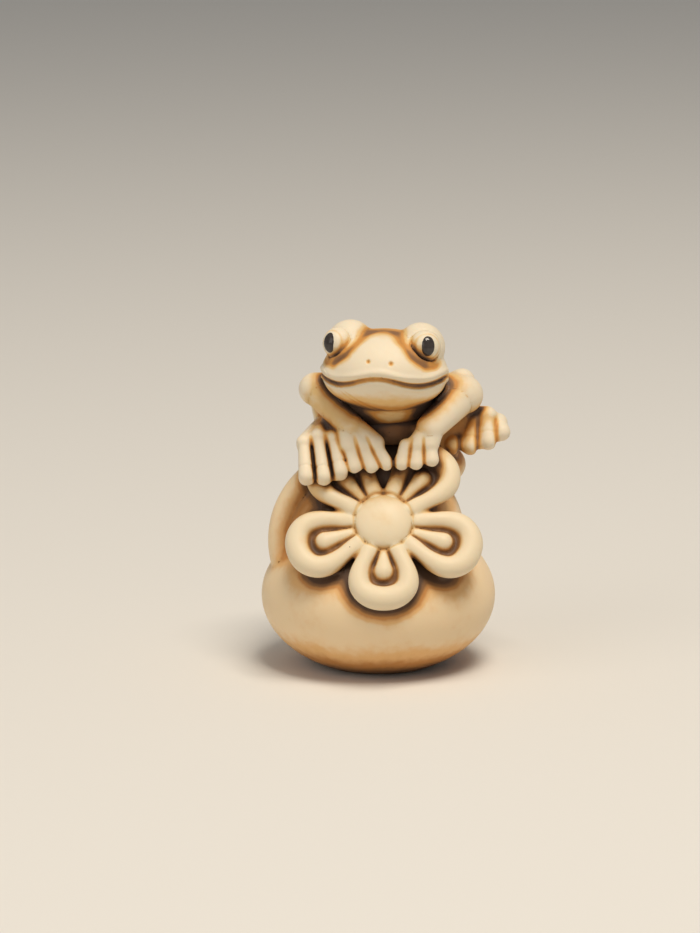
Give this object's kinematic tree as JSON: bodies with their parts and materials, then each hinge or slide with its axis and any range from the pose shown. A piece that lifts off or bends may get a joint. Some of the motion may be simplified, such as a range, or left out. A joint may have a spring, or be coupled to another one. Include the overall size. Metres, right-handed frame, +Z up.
{
  "type": "frog figurine",
  "caption": "Small resting frog ornament on stacked pebbles, with a looped flower laid on the front; stands on a flat foot.",
  "frame": {"origin": "middle of the flat foot under the lower stone", "axes": "+Z up; the frog looks along -Y, so +X is the frog's left"},
  "size_m": [0.0178, 0.0166, 0.0253],
  "materials": {
    "stone_resin": "cast ivory-look resin, satin, with brown stain wiped into the seams",
    "flower_resin": "cast ivory-look resin, satin, with dark brown stain in the loops",
    "frog_resin": "cast ivory-look resin, satin, with amber stain in the folds",
    "pupil_inlay": "polished dark inlay"
  },
  "bodies": {
    "root": {"lower_stone": "stone_resin", "upper_stone": "stone_resin", "seat_stone": "stone_resin", "side_roll": "stone_resin", "flower_boss": "flower_resin", "front_petal": "flower_resin", "left_petal": "flower_resin", "upper_left_petal": "flower_resin", "upper_right_petal": "flower_resin", "right_petal": "flower_resin", "front_tongue": "flower_resin", "left_tongue": "flower_resin", "upper_left_tongue": "flower_resin", "upper_right_tongue": "flower_resin", "right_tongue": "flower_resin", "torso": "frog_resin", "throat": "frog_resin", "lower_jaw": "frog_resin", "skull": "frog_resin", "left_brow": "frog_resin", "right_brow": "frog_resin", "left_eyeball": "frog_resin", "right_eyeball": "frog_resin", "left_pupil": "pupil_inlay", "right_pupil": "pupil_inlay", "left_upper_arm": "frog_resin", "right_upper_arm": "frog_resin", "left_forearm": "frog_resin", "right_forearm": "frog_resin", "left_front_foot": "frog_resin", "right_front_foot": "frog_resin", "left_thigh": "frog_resin", "right_thigh": "frog_resin", "left_shank": "frog_resin", "right_shank": "frog_resin", "left_hind_foot": "frog_resin", "right_hind_foot": "frog_resin"}
  },
  "joints": []
}
